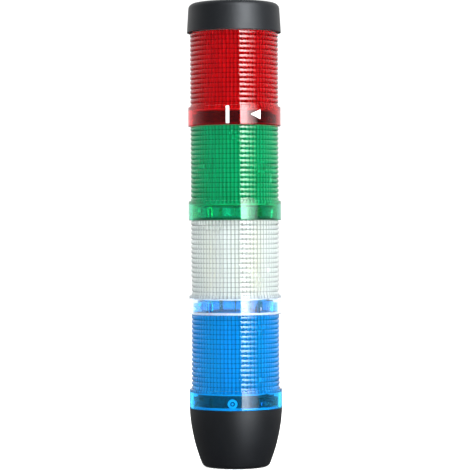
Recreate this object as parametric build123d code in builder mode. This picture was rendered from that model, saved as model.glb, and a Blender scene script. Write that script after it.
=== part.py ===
from build123d import *
import os
from math import cos, radians, sin, sqrt, tan

# Stack light: a black base, four coloured lens modules and a black cap.
# The tower stands on z = 0 with its axis on Z, and its front faces -Y.
# Angles are measured from +X, counter-clockwise seen from above.

os.makedirs("parts", exist_ok=True)

# The tower
TIER_COLOURS = ["blue", "clear", "green", "red"]
COLLAR_RADIUS = 20.0
BASE_HEIGHT = 25.3
TIER_PITCH = 40.4
CAP_HEIGHT = 12.7

# The bayonet that joins each tier to the one below, heights above the joint's foot
RUNNING_GAP = 0.2
COLLAR_WALL = 1.4
SOCKET_DEPTH = 7.0
SPIGOT_GAP = 2.2
SPIGOT_WALL = 1.4
SPIGOT_TOP_GAP = 0.4
BAYONET_COUNT = 3
BAYONET_ANGLE = -55.0
TURN_TO_OPEN = 30.0
LEDGE_BOTTOM = 3.6
LEDGE_THICKNESS = 1.4
LEDGE_CLEARANCE = 0.4
STOP_SPAN = 4.0
LUG_SPAN = 12.0
LUG_HEIGHT = 1.4
LUG_CLEARANCE = 0.3
LUG_SPIGOT_CLEARANCE = 0.4
LUG_LOCKED_PLAY = 1.0
LUG_PASSING_PLAY = 3.0
LUG_OPEN_PLAY = 1.5

# The seal at the foot of each spigot
SEAL_THICKNESS = 1.0
SEAL_FIT = 0.05
SEAL_STOP_GAP = 0.1

# The lens
COLLAR_HEIGHT = 8.4
COLLAR_CHAMFER = 0.3
SHOULDER_HEIGHT = 0.45
RIB_COUNT = 16
RIB_STEP = 0.95
RIB_DEPTH = 0.7
LENS_WALL = 0.7
FLUTE_COUNT = 68
FLUTE_DEPTH = 0.45
DECK_THICKNESS = 1.2
DECK_LEDGE = 1.6

# The contact plate in each spigot, and its contact blades
PLATE_THICKNESS = 1.6
PLATE_FIT = 0.1
CONTACT_COUNT = 5
CONTACT_ANGLE = -18.0
CONTACT_INSET = 2.4
BLADE_WIDTH = 2.0
BLADE_THICKNESS = 0.6
BLADE_TAIL = 2.0
BLADE_CROWN = 0.8
BLADE_SLOT_FIT = 0.05
BLADE_TOUCH_GAP = 0.15

# The tracks under each LED carrier, which the blades below wipe
TRACK_WIDTH = 2.6
TRACK_THICKNESS = 0.3
TRACK_END_MARGIN = 5.0

# The LED column in each lens: three posts, with a board between each two
CARRIER_FLANGE_THICKNESS = 0.6
CARRIER_FLANGE_CLEARANCE = 0.4
CARRIER_NOTCH_MARGIN = 1.5
CARRIER_DISC_THICKNESS = 1.4
CARRIER_DISC_CLEARANCE = 0.2
CARRIER_HOLE_RADIUS = 4.0
COLUMN_CLEARANCE = 0.9
COLUMN_ANGLE = -42.0
POST_RADIUS = 2.4
POST_OUTSIDE_CORNER = 0.8
BOARD_COUNT = 3
BOARD_END_INSET = 2.4
BOARD_TOP_GAP = 1.4
BOARD_THICKNESS = 1.0
BOARD_FIT = 0.1
LED_END_MARGIN = 0.9
LED_PITCH = 5.6
LED_SIZE = 5.0
LED_THICKNESS = 1.6

# The base
BASE_FOOT_RADIUS = 14.15
BASE_BULGE = 1.2
BASE_BULGE_HEIGHT = 14.0
BASE_FOOT_FILLET = 2.6
BASE_WALL = 1.8
BASE_FLOOR = 2.4
BASE_DECK = 1.6
BOLT_COUNT = 3
BOLT_CIRCLE_RADIUS = 9.0
BOLT_ANGLE = 90.0
BOLT_HOLE_RADIUS = 1.7
BOLT_BOSS_WALL = 1.0
BOLT_BOSS_HEIGHT = 1.2

# The cable grommet in the base's floor
GROMMET_BORE_RADIUS = 3.0
GROMMET_WALL = 2.0
GROMMET_FLANGE_WIDTH = 1.0
GROMMET_FLANGE_THICKNESS = 1.0
GROMMET_FIT = 0.05

# The terminal block that hangs under the base's contact plate
BLOCK_CORNER_CLEARANCE = 1.13
BLOCK_DEPTH = 12.0
BLOCK_HEIGHT = 10.6
BLOCK_END_WALL = 0.6
POLE_PITCH = 4.2
POLE_SETBACK = 4.0
WIRE_HOLE_RADIUS = 1.3
WIRE_HOLE_DEPTH = 6.0
SCREW_HEIGHT = 4.6
CLAMP_SIZE = 3.2
CLAMP_WALL = 0.6
CLAMP_FIT = 0.1
TERMINAL_SCREW_RADIUS = 1.2
TERMINAL_SCREW_LENGTH = 2.2
TERMINAL_SCREW_CLEARANCE = 0.3
SLOT_WIDTH = 0.5
SLOT_DEPTH = 0.6
BLOCK_SCREW_END_INSET = 2.7
BLOCK_SCREW_BACK_INSET = 2.2
BLOCK_SCREW_LENGTH = 5.0
BLOCK_SCREW_SHANK_RADIUS = 0.9
BLOCK_SCREW_HEAD_RADIUS = 1.8
BLOCK_SCREW_HEAD_HEIGHT = 1.2
BLOCK_SCREW_FIT = 0.05

# The cap
CAP_LIP_PROUD = 0.3
CAP_TAPER = 0.75
CAP_TOP_FILLET = 2.4
CAP_TOP_WALL = 2.0
CAP_POCKET_STEP = 2.2

# Sizes that follow for the bayonet and the seal
COLLAR_BORE_RADIUS = COLLAR_RADIUS - COLLAR_WALL
SPIGOT_RADIUS = COLLAR_BORE_RADIUS - SPIGOT_GAP
SPIGOT_BORE_RADIUS = SPIGOT_RADIUS - SPIGOT_WALL
LEDGE_RADIUS = COLLAR_BORE_RADIUS - LEDGE_CLEARANCE
LEDGE_TOP = LEDGE_BOTTOM + LEDGE_THICKNESS
LEDGE_SPAN = LUG_LOCKED_PLAY + TURN_TO_OPEN - LUG_PASSING_PLAY
ENTRY_STOP_START = LUG_LOCKED_PLAY + TURN_TO_OPEN + LUG_SPAN + LUG_OPEN_PLAY
LUG_TOP = LEDGE_BOTTOM - LUG_CLEARANCE
LUG_BOTTOM = LUG_TOP - LUG_HEIGHT
LUG_RADIUS = SPIGOT_RADIUS + LUG_SPIGOT_CLEARANCE
SEAL_RADIUS = LEDGE_RADIUS + SEAL_FIT

# Sizes that follow for the lens and what is in it
RIB_CREST_RADIUS = COLLAR_RADIUS - RIB_STEP
RIB_GROOVE_RADIUS = RIB_CREST_RADIUS - RIB_DEPTH
RIB_START = COLLAR_HEIGHT + SHOULDER_HEIGHT
RIB_PITCH = (TIER_PITCH - RIB_START) / (RIB_COUNT - 0.5)
FLUTE_ROOT_RADIUS = RIB_GROOVE_RADIUS - LENS_WALL
FLUTE_TIP_RADIUS = FLUTE_ROOT_RADIUS - FLUTE_DEPTH
DECK_BOTTOM = TIER_PITCH - DECK_THICKNESS
DECK_HOLE_RADIUS = SPIGOT_BORE_RADIUS - DECK_LEDGE
FLANGE_BOTTOM = SOCKET_DEPTH - CARRIER_FLANGE_THICKNESS
SPIGOT_HEIGHT = FLANGE_BOTTOM - SPIGOT_TOP_GAP
CARRIER_TOP = SOCKET_DEPTH + CARRIER_DISC_THICKNESS
POST_CIRCLE_RADIUS = FLUTE_TIP_RADIUS - COLUMN_CLEARANCE - POST_RADIUS
BOARD_OFFSET = (POST_CIRCLE_RADIUS + POST_RADIUS - POST_OUTSIDE_CORNER) * cos(radians(180 / BOARD_COUNT))
BOARD_WIDTH = 2 * (BOARD_OFFSET * tan(radians(180 / BOARD_COUNT)) - BOARD_END_INSET)
BOARD_HEIGHT = DECK_BOTTOM - BOARD_TOP_GAP - CARRIER_TOP
LED_COUNT = 1 + int((BOARD_HEIGHT - 2 * LED_END_MARGIN - LED_SIZE) / LED_PITCH)

# Sizes that follow for the contacts
CONTACT_CIRCLE_RADIUS = DECK_HOLE_RADIUS - CONTACT_INSET
TRACK_BOTTOM = FLANGE_BOTTOM - TRACK_THICKNESS
TRACK_SPAN = TURN_TO_OPEN + 2 * TRACK_END_MARGIN
BLADE_TOP = TRACK_BOTTOM - BLADE_TOUCH_GAP

# Sizes that follow for the base, its terminal block and the cap
BULGE_CHORD_RADIUS = BASE_FOOT_RADIUS + (COLLAR_RADIUS - BASE_FOOT_RADIUS) * BASE_BULGE_HEIGHT / BASE_HEIGHT
BASE_BULGE_RADIUS = BULGE_CHORD_RADIUS + BASE_BULGE
GROMMET_HOLE_RADIUS = GROMMET_BORE_RADIUS + GROMMET_WALL
CLAMP_CAVITY = CLAMP_SIZE + 2 * CLAMP_FIT
BLOCK_CORNER_RADIUS = DECK_HOLE_RADIUS - BLOCK_CORNER_CLEARANCE
BLOCK_ROOM = 2 * sqrt(BLOCK_CORNER_RADIUS**2 - (BLOCK_DEPTH / 2) ** 2)
POLE_COUNT = 1 + int((BLOCK_ROOM - CLAMP_CAVITY - 2 * BLOCK_END_WALL) / POLE_PITCH)
BLOCK_WIDTH = (POLE_COUNT - 1) * POLE_PITCH + CLAMP_CAVITY + 2 * BLOCK_END_WALL
BLOCK_BOTTOM = BASE_HEIGHT - BLOCK_HEIGHT
BLOCK_FRONT = -BLOCK_DEPTH / 2
POLE_Y = BLOCK_FRONT + POLE_SETBACK
SCREW_Z = BLOCK_BOTTOM + SCREW_HEIGHT
SCREW_WELL_RADIUS = TERMINAL_SCREW_RADIUS + TERMINAL_SCREW_CLEARANCE
BLOCK_SCREW_X = BLOCK_WIDTH / 2 - BLOCK_SCREW_END_INSET
BLOCK_SCREW_Y = BLOCK_DEPTH / 2 - BLOCK_SCREW_BACK_INSET
BLOCK_SCREW_PLACES = ((-BLOCK_SCREW_X, BLOCK_SCREW_Y), (BLOCK_SCREW_X, BLOCK_SCREW_Y))
CAP_FOOT = BASE_HEIGHT + len(TIER_COLOURS) * TIER_PITCH
CAP_LIP_RADIUS = COLLAR_RADIUS + CAP_LIP_PROUD
CAP_TOP_RADIUS = CAP_LIP_RADIUS - CAP_TAPER
CAP_POCKET_RADIUS = COLLAR_BORE_RADIUS - CAP_POCKET_STEP


def write(part, name):
    """Label a finished piece and save it under its name."""
    part.label = name
    export_step(part, f"parts/{name}.step")


def ring(outer, inner, low, high, mode=Mode.ADD):
    """Add or cut a plain ring about the tower's axis."""
    with BuildSketch(Plane.XY.offset(low)) as section:
        Circle(outer)
        if inner:
            Circle(inner, mode=Mode.SUBTRACT)
    extrude(section.sketch, amount=high - low, mode=mode)


def ring_piece(outer, inner, start, span):
    """Draw the outline of a piece of ring in the sketch line being built."""
    far = CenterArc((0, 0), outer, start, span)
    near = CenterArc((0, 0), inner, start, span)
    Line(near @ 0, far @ 0)
    Line(near @ 1, far @ 1)


def sector(outer, inner, start, span, low, high, mode=Mode.ADD):
    """Add or cut a piece of ring, once for each catch of the bayonet."""
    with BuildSketch(Plane.XY.offset(low)) as section:
        for catch in range(BAYONET_COUNT):
            turn = BAYONET_ANGLE + 360 * catch / BAYONET_COUNT
            with BuildLine():
                ring_piece(outer, inner, turn + start, span)
            make_face()
    extrude(section.sketch, amount=high - low, mode=mode)


def add_spigot(foot):
    """Add the male half of the bayonet, with its ledges and stops."""
    ring(SPIGOT_RADIUS, SPIGOT_BORE_RADIUS, foot, foot + SPIGOT_HEIGHT)
    stop_bottom = foot + SEAL_THICKNESS + SEAL_STOP_GAP
    inner = (SPIGOT_RADIUS + SPIGOT_BORE_RADIUS) / 2
    sector(LEDGE_RADIUS, inner, 0, LEDGE_SPAN, foot + LEDGE_BOTTOM, foot + LEDGE_TOP)
    sector(LEDGE_RADIUS, inner, -STOP_SPAN, STOP_SPAN, stop_bottom, foot + LEDGE_TOP)
    sector(LEDGE_RADIUS, inner, ENTRY_STOP_START, STOP_SPAN, stop_bottom, foot + LEDGE_TOP)


def add_lugs(foot):
    """Add the lugs inside a collar, which the ledges below hold down."""
    outer = (COLLAR_BORE_RADIUS + COLLAR_RADIUS) / 2
    sector(outer, LUG_RADIUS, LUG_LOCKED_PLAY, LUG_SPAN, foot + LUG_BOTTOM, foot + LUG_TOP)


def make_lens(foot):
    """One moulded lens: ribbed wall, collar with its lugs, deck and spigot."""
    top = foot + TIER_PITCH
    rim = foot + RUNNING_GAP
    outline = [
        (0, rim),
        (COLLAR_RADIUS - COLLAR_CHAMFER, rim),
        (COLLAR_RADIUS, rim + COLLAR_CHAMFER),
        (COLLAR_RADIUS, foot + COLLAR_HEIGHT - COLLAR_CHAMFER),
        (COLLAR_RADIUS - COLLAR_CHAMFER, foot + COLLAR_HEIGHT),
    ]
    for rib in range(RIB_COUNT):
        groove = foot + RIB_START + rib * RIB_PITCH
        outline += [(RIB_GROOVE_RADIUS, groove), (RIB_CREST_RADIUS, groove + RIB_PITCH / 2)]
    outline.append((0, top))
    flutes = []
    for flute in range(FLUTE_COUNT):
        for radius, place in ((FLUTE_TIP_RADIUS, flute), (FLUTE_ROOT_RADIUS, flute + 0.5)):
            angle = radians(360 * place / FLUTE_COUNT)
            flutes.append((radius * cos(angle), radius * sin(angle)))
    with BuildPart() as lens:
        with BuildSketch(Plane.XZ):
            with BuildLine():
                Polyline(outline, close=True)
            make_face()
        revolve(axis=Axis.Z)
        ring(COLLAR_BORE_RADIUS, 0, rim, foot + SOCKET_DEPTH, Mode.SUBTRACT)
        with BuildSketch(Plane.XY.offset(foot + SOCKET_DEPTH)):
            with BuildLine():
                Polyline(flutes, close=True)
            make_face()
        extrude(amount=DECK_BOTTOM - SOCKET_DEPTH, mode=Mode.SUBTRACT)
        ring(DECK_HOLE_RADIUS, 0, foot + DECK_BOTTOM, top, Mode.SUBTRACT)
        add_spigot(top)
        add_lugs(foot)
    return lens.part


def make_seal(foot):
    """The flat rubber ring round the foot of a spigot."""
    with BuildPart() as seal:
        ring(SEAL_RADIUS, SPIGOT_RADIUS + SEAL_FIT, foot, foot + SEAL_THICKNESS)
    return seal.part


def make_contact_plate(foot, screws=False):
    """The disc that closes a spigot, slotted for the contact blades."""
    with BuildPart() as plate:
        with BuildSketch(Plane.XY.offset(foot)):
            Circle(SPIGOT_BORE_RADIUS - PLATE_FIT)
            with PolarLocations(CONTACT_CIRCLE_RADIUS, CONTACT_COUNT, start_angle=CONTACT_ANGLE):
                slot_width = BLADE_WIDTH + 2 * BLADE_SLOT_FIT
                slot_thickness = BLADE_THICKNESS + 2 * BLADE_SLOT_FIT
                Rectangle(slot_width, slot_thickness, mode=Mode.SUBTRACT)
            if screws:
                with Locations(*BLOCK_SCREW_PLACES):
                    Circle(BLOCK_SCREW_SHANK_RADIUS + BLOCK_SCREW_FIT, mode=Mode.SUBTRACT)
        extrude(amount=PLATE_THICKNESS)
    return plate.part


def make_contact_pins(foot, tail=BLADE_TAIL):
    """The flat contact blades, standing through the slots of the contact plate."""
    half = BLADE_WIDTH / 2
    low = foot - tail
    high = foot + BLADE_TOP
    with BuildPart() as pins:
        for contact in range(CONTACT_COUNT):
            angle = radians(CONTACT_ANGLE + 360 * contact / CONTACT_COUNT)
            radial = Vector(cos(angle), sin(angle), 0)
            side = Vector(-sin(angle), cos(angle), 0)
            centre = radial * CONTACT_CIRCLE_RADIUS
            with BuildSketch(Plane(origin=centre, x_dir=radial, z_dir=-side)):
                with BuildLine():
                    Polyline(
                        (-half, low),
                        (half, low),
                        (half, high - BLADE_CROWN),
                        (0, high),
                        (-half, high - BLADE_CROWN),
                        close=True,
                    )
                make_face()
            extrude(amount=BLADE_THICKNESS / 2, both=True)
    return pins.part


def make_contact_tracks(foot):
    """The brass tracks under an LED carrier, long enough for the bayonet's turn."""
    outer = CONTACT_CIRCLE_RADIUS + TRACK_WIDTH / 2
    inner = CONTACT_CIRCLE_RADIUS - TRACK_WIDTH / 2
    track_start = CONTACT_ANGLE - TURN_TO_OPEN - TRACK_END_MARGIN
    with BuildPart() as tracks:
        with BuildSketch(Plane.XY.offset(foot + TRACK_BOTTOM)):
            for contact in range(CONTACT_COUNT):
                turn = 360 * contact / CONTACT_COUNT
                with BuildLine():
                    ring_piece(outer, inner, track_start + turn, TRACK_SPAN)
                make_face()
        extrude(amount=TRACK_THICKNESS)
    return tracks.part


def make_led_carrier(foot):
    """The white carrier: a notched flange, a disc and three grooved corner posts."""
    flange_radius = COLLAR_BORE_RADIUS - CARRIER_FLANGE_CLEARANCE
    notch_radius = LUG_RADIUS - CARRIER_DISC_CLEARANCE
    notch_start = LUG_LOCKED_PLAY - CARRIER_NOTCH_MARGIN
    notch_span = LUG_SPAN + 2 * CARRIER_NOTCH_MARGIN
    with BuildPart() as carrier:
        ring(flange_radius, 0, foot + FLANGE_BOTTOM, foot + SOCKET_DEPTH)
        sector(
            COLLAR_RADIUS,
            notch_radius,
            notch_start,
            notch_span,
            foot + FLANGE_BOTTOM,
            foot + SOCKET_DEPTH,
            Mode.SUBTRACT,
        )
        ring(FLUTE_TIP_RADIUS - CARRIER_DISC_CLEARANCE, 0, foot + SOCKET_DEPTH, foot + CARRIER_TOP)
        ring(CARRIER_HOLE_RADIUS, 0, foot + FLANGE_BOTTOM, foot + CARRIER_TOP, Mode.SUBTRACT)
        with BuildSketch(Plane.XY.offset(foot + CARRIER_TOP)):
            post_angle = COLUMN_ANGLE + 180 / BOARD_COUNT
            with PolarLocations(POST_CIRCLE_RADIUS, BOARD_COUNT, start_angle=post_angle):
                Circle(POST_RADIUS)
            with PolarLocations(BOARD_OFFSET, BOARD_COUNT, start_angle=COLUMN_ANGLE):
                groove_depth = BOARD_THICKNESS + 2 * BOARD_FIT
                Rectangle(groove_depth, BOARD_WIDTH + 2 * BOARD_FIT, mode=Mode.SUBTRACT)
        extrude(amount=DECK_BOTTOM - CARRIER_TOP)
    return carrier.part


def make_led_board(foot, angle):
    """One upright circuit board of the LED column."""
    with BuildPart() as board:
        with BuildSketch(Plane.XY.offset(foot + CARRIER_TOP)):
            with PolarLocations(BOARD_OFFSET, 1, start_angle=angle):
                Rectangle(BOARD_THICKNESS, BOARD_WIDTH)
        extrude(amount=BOARD_HEIGHT)
    return board.part


def make_leds(foot):
    """The square LEDs on the outer faces of the three boards."""
    middle = foot + CARRIER_TOP + BOARD_HEIGHT / 2
    face_radius = BOARD_OFFSET + BOARD_THICKNESS / 2
    with BuildPart() as leds:
        for board in range(BOARD_COUNT):
            angle = radians(COLUMN_ANGLE + 360 * board / BOARD_COUNT)
            outward = Vector(cos(angle), sin(angle), 0)
            sideways = Vector(-sin(angle), cos(angle), 0)
            centre = outward * face_radius + Vector(0, 0, middle)
            with BuildSketch(Plane(origin=centre, x_dir=sideways, z_dir=outward)):
                with GridLocations(LED_SIZE, LED_PITCH, 1, LED_COUNT):
                    Rectangle(LED_SIZE, LED_SIZE)
            extrude(amount=LED_THICKNESS)
    return leds.part


def make_base_housing():
    """The base: a hollow bowl with a floor, bolt bosses, deck and spigot."""
    outer_points = [
        (COLLAR_RADIUS, BASE_HEIGHT),
        (BASE_BULGE_RADIUS, BASE_BULGE_HEIGHT),
        (BASE_FOOT_RADIUS, 0),
    ]
    inner_top = BASE_HEIGHT - BASE_DECK
    inner_points = [
        (COLLAR_RADIUS - BASE_WALL, inner_top),
        (BASE_BULGE_RADIUS - BASE_WALL, BASE_BULGE_HEIGHT),
        (BASE_FOOT_RADIUS - BASE_WALL, BASE_FLOOR),
    ]
    with BuildPart() as housing:
        with BuildSketch(Plane.XZ):
            with BuildLine():
                ThreePointArc(*outer_points)
                Line(outer_points[2], (0, 0))
                Line((0, 0), (0, BASE_HEIGHT))
                Line((0, BASE_HEIGHT), outer_points[0])
            make_face()
        revolve(axis=Axis.Z)
        fillet(housing.edges().filter_by(GeomType.CIRCLE).sort_by(Axis.Z)[0], BASE_FOOT_FILLET)
        with BuildSketch(Plane.XZ):
            with BuildLine():
                Polyline(*inner_points)
                Line(inner_points[2], (0, BASE_FLOOR))
                Line((0, BASE_FLOOR), (0, inner_top))
                Line((0, inner_top), inner_points[0])
            make_face()
        revolve(axis=Axis.Z, mode=Mode.SUBTRACT)
        ring(DECK_HOLE_RADIUS, 0, inner_top, BASE_HEIGHT, Mode.SUBTRACT)
        add_spigot(BASE_HEIGHT)
        with BuildSketch(Plane.XY.offset(BASE_FLOOR)):
            with PolarLocations(BOLT_CIRCLE_RADIUS, BOLT_COUNT, start_angle=BOLT_ANGLE):
                Circle(BOLT_HOLE_RADIUS + BOLT_BOSS_WALL)
        extrude(amount=BOLT_BOSS_HEIGHT)
        with BuildSketch():
            Circle(GROMMET_HOLE_RADIUS)
            with PolarLocations(BOLT_CIRCLE_RADIUS, BOLT_COUNT, start_angle=BOLT_ANGLE):
                Circle(BOLT_HOLE_RADIUS)
        extrude(amount=BASE_FLOOR + BOLT_BOSS_HEIGHT, mode=Mode.SUBTRACT)
    return housing.part


def make_cable_grommet():
    """The rubber grommet that the supply cable would pass through."""
    with BuildPart() as grommet:
        ring(GROMMET_HOLE_RADIUS - GROMMET_FIT, GROMMET_BORE_RADIUS, 0, BASE_FLOOR)
        flange_top = BASE_FLOOR + GROMMET_FLANGE_THICKNESS
        flange_radius = GROMMET_HOLE_RADIUS + GROMMET_FLANGE_WIDTH
        ring(flange_radius, GROMMET_BORE_RADIUS, BASE_FLOOR, flange_top)
    return grommet.part


def pole_places(height):
    """The places of the terminal block's poles, at a height or a depth across it."""
    first = -(POLE_COUNT - 1) * POLE_PITCH / 2
    return [(first + pole * POLE_PITCH, height) for pole in range(POLE_COUNT)]


def make_terminal_block():
    """The block that takes the supply wires, with a clamp cavity for each pole."""
    with BuildPart() as block:
        with BuildSketch(Plane.XY.offset(BLOCK_BOTTOM)):
            Rectangle(BLOCK_WIDTH, BLOCK_DEPTH)
        extrude(amount=BLOCK_HEIGHT)
        with BuildSketch(Plane.XY.offset(BLOCK_BOTTOM)):
            with Locations(*pole_places(POLE_Y)):
                Circle(WIRE_HOLE_RADIUS)
        extrude(amount=WIRE_HOLE_DEPTH, mode=Mode.SUBTRACT)
        with BuildSketch(Plane.XZ.offset(-BLOCK_FRONT)):
            with Locations(*pole_places(SCREW_Z)):
                Circle(SCREW_WELL_RADIUS)
        extrude(amount=-POLE_SETBACK, mode=Mode.SUBTRACT)
        with BuildSketch(Plane.XZ.offset(-POLE_Y)):
            with Locations(*pole_places(SCREW_Z)):
                Rectangle(CLAMP_CAVITY, CLAMP_CAVITY)
        extrude(amount=CLAMP_CAVITY / 2, both=True, mode=Mode.SUBTRACT)
        with BuildSketch(Plane.XY.offset(BASE_HEIGHT)):
            with Locations(*BLOCK_SCREW_PLACES):
                Circle(BLOCK_SCREW_SHANK_RADIUS + BLOCK_SCREW_FIT)
        extrude(amount=-BLOCK_SCREW_LENGTH, mode=Mode.SUBTRACT)
    return block.part


def make_terminal_clamps():
    """The square clamp cage of each pole."""
    opening = CLAMP_SIZE - 2 * CLAMP_WALL
    with BuildPart() as clamps:
        with BuildSketch(Plane.XZ.offset(-POLE_Y)):
            with Locations(*pole_places(SCREW_Z)):
                Rectangle(CLAMP_SIZE, CLAMP_SIZE)
                Rectangle(opening, opening, mode=Mode.SUBTRACT)
        extrude(amount=CLAMP_SIZE / 2, both=True)
    return clamps.part


def make_terminal_screws():
    """The slotted clamp screw of each pole, seated on its cage."""
    seat = Plane.XZ.offset(CLAMP_SIZE / 2 - POLE_Y)
    with BuildPart() as screws:
        with BuildSketch(seat):
            with Locations(*pole_places(SCREW_Z)):
                Circle(TERMINAL_SCREW_RADIUS)
        extrude(amount=TERMINAL_SCREW_LENGTH)
        with BuildSketch(seat.offset(TERMINAL_SCREW_LENGTH)):
            with Locations(*pole_places(SCREW_Z)):
                Rectangle(SLOT_WIDTH, 2 * TERMINAL_SCREW_RADIUS)
        extrude(amount=-SLOT_DEPTH, mode=Mode.SUBTRACT)
    return screws.part


def make_block_screws():
    """The two screws that hold the terminal block up to the contact plate."""
    seat = Plane.XY.offset(BASE_HEIGHT + PLATE_THICKNESS)
    with BuildPart() as screws:
        with BuildSketch(seat):
            with Locations(*BLOCK_SCREW_PLACES):
                Circle(BLOCK_SCREW_HEAD_RADIUS)
        extrude(amount=BLOCK_SCREW_HEAD_HEIGHT)
        with BuildSketch(seat):
            with Locations(*BLOCK_SCREW_PLACES):
                Circle(BLOCK_SCREW_SHANK_RADIUS)
        extrude(amount=-(PLATE_THICKNESS + BLOCK_SCREW_LENGTH - BLOCK_SCREW_FIT))
        with BuildSketch(seat.offset(BLOCK_SCREW_HEAD_HEIGHT)):
            with Locations(*BLOCK_SCREW_PLACES):
                Rectangle(2 * BLOCK_SCREW_HEAD_RADIUS, SLOT_WIDTH)
        extrude(amount=-SLOT_DEPTH, mode=Mode.SUBTRACT)
    return screws.part


def make_cap():
    """The closed cap, tapered to its top, with the female half of the bayonet."""
    rim = CAP_FOOT + RUNNING_GAP
    top = CAP_FOOT + CAP_HEIGHT
    with BuildPart() as cap:
        with BuildSketch(Plane.XZ):
            with BuildLine():
                Polyline((0, rim), (CAP_LIP_RADIUS, rim), (CAP_TOP_RADIUS, top), (0, top), close=True)
            make_face()
        revolve(axis=Axis.Z)
        fillet(cap.edges().filter_by(GeomType.CIRCLE).sort_by(Axis.Z)[-1], CAP_TOP_FILLET)
        ring(COLLAR_BORE_RADIUS, 0, rim, CAP_FOOT + SOCKET_DEPTH, Mode.SUBTRACT)
        ring(CAP_POCKET_RADIUS, 0, CAP_FOOT + SOCKET_DEPTH, top - CAP_TOP_WALL, Mode.SUBTRACT)
        add_lugs(CAP_FOOT)
    return cap.part


write(make_base_housing(), "base_housing")
write(make_cable_grommet(), "cable_grommet")
write(make_seal(BASE_HEIGHT), "base_seal")
write(make_contact_plate(BASE_HEIGHT, screws=True), "base_contact_plate")
write(make_contact_pins(BASE_HEIGHT, tail=0), "base_contact_pins")
write(make_terminal_block(), "terminal_block")
write(make_terminal_clamps(), "terminal_clamps")
write(make_terminal_screws(), "terminal_screws")
write(make_block_screws(), "block_screws")

for tier, colour in enumerate(TIER_COLOURS):
    foot = BASE_HEIGHT + tier * TIER_PITCH
    top = foot + TIER_PITCH
    write(make_lens(foot), f"{colour}_lens")
    write(make_seal(top), f"{colour}_seal")
    write(make_led_carrier(foot), f"{colour}_led_carrier")
    write(make_contact_tracks(foot), f"{colour}_contact_tracks")
    for board in range(BOARD_COUNT):
        angle = COLUMN_ANGLE + 360 * board / BOARD_COUNT
        write(make_led_board(foot, angle), f"{colour}_led_board_{board + 1}")
    write(make_leds(foot), f"{colour}_leds")
    write(make_contact_plate(top), f"{colour}_contact_plate")
    write(make_contact_pins(top), f"{colour}_contact_pins")

write(make_cap(), "cap")
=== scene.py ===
"""Dresses the stack light: moulded lenses, finishes, printed marks and a plain white studio."""

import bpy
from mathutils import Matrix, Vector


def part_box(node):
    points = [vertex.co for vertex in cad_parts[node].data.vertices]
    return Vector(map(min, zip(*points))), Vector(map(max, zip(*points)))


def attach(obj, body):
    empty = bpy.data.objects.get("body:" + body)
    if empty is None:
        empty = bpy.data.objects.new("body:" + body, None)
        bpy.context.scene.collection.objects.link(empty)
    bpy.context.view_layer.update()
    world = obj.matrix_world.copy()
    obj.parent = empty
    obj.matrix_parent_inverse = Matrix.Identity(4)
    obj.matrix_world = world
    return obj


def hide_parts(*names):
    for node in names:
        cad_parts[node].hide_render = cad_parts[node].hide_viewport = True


bl_info = {
    "name": "Stack Light Dresser",
    "version": (1, 0, 0),
    "blender": (4, 5, 0),
    "location": "View3D > Sidebar > Stack Light",
    "description": "Dresses the packed stack light with moulded lenses, finishes and a plain studio",
    "category": "Object",
}

from math import cos, degrees, pi, radians, sin, sqrt

import bmesh
import bpy
from mathutils import Vector

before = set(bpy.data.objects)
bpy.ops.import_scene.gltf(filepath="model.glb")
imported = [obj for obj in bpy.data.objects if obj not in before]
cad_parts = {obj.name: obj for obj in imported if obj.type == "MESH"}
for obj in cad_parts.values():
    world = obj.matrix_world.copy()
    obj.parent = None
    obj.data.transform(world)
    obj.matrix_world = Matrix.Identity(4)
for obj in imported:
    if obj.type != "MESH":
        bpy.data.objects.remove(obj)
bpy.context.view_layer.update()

MM = 0.001
TIERS = ("blue", "clear", "green", "red")

# Sizes read from the frame
BLUE_LENS_LOW, BLUE_LENS_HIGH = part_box("blue_lens")
CLEAR_LENS_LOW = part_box("clear_lens")[0]
COLLAR_RADIUS = BLUE_LENS_HIGH.x
TIER_PITCH = CLEAR_LENS_LOW.z - BLUE_LENS_LOW.z
RUNNING_GAP = 0.2 * MM
SPIGOT_HEIGHT = BLUE_LENS_HIGH.z - (CLEAR_LENS_LOW.z - RUNNING_GAP)

# The gap under a rim and the deck's thickness, both finer here than in the solids
SEEN_GAP = 0.06 * MM
SEEN_DECK = 0.5 * MM

# Sizes of the moulded lens, as in the solids
COLLAR_BORE_RADIUS = COLLAR_RADIUS - 1.4 * MM
COLLAR_HEIGHT = 8.4 * MM
SOCKET_DEPTH = 7.0 * MM
SPIGOT_RADIUS = COLLAR_BORE_RADIUS - 2.2 * MM
SPIGOT_BORE_RADIUS = SPIGOT_RADIUS - 1.4 * MM
LEDGE_RADIUS = COLLAR_BORE_RADIUS - 0.4 * MM
LUG_RADIUS = SPIGOT_RADIUS + 0.4 * MM
RIB_START = COLLAR_HEIGHT + 0.45 * MM
FLUTE_ROOT_RADIUS = COLLAR_RADIUS - 2.35 * MM
DECK_HOLE_RADIUS = SPIGOT_BORE_RADIUS - 1.6 * MM
STOP_BOTTOM = 1.1 * MM
LEDGE_BOTTOM = 3.6 * MM
LEDGE_TOP = 5.0 * MM
LUG_BOTTOM = 1.9 * MM
LUG_TOP = 3.3 * MM
BAYONET_COUNT = 3
BAYONET_ANGLE = -55.0
LEDGE_SPAN = 28.0
STOP_SPAN = 4.0
ENTRY_STOP_START = 44.5
LUG_START = 1.0
LUG_SPAN = 12.0

# How the lens is built: its steps, its rounded edges and how near to an end a row may lie
STEPS_PER_FLUTE = 4
EDGE_RADIUS = 0.3 * MM
EDGE_SUPPORT = 1.3 * EDGE_RADIUS
ROW_MARGIN = 0.1 * MM
SHARP_ANGLE = radians(35)

# The share of the first rib that runs into the collar
HIDDEN_RIB_SHARE = 0.5

# The share of a groove's or a flute's depth over which the painted shade darkens the plastic
PAINTED_SHADE_SHARE = 0.8

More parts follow.
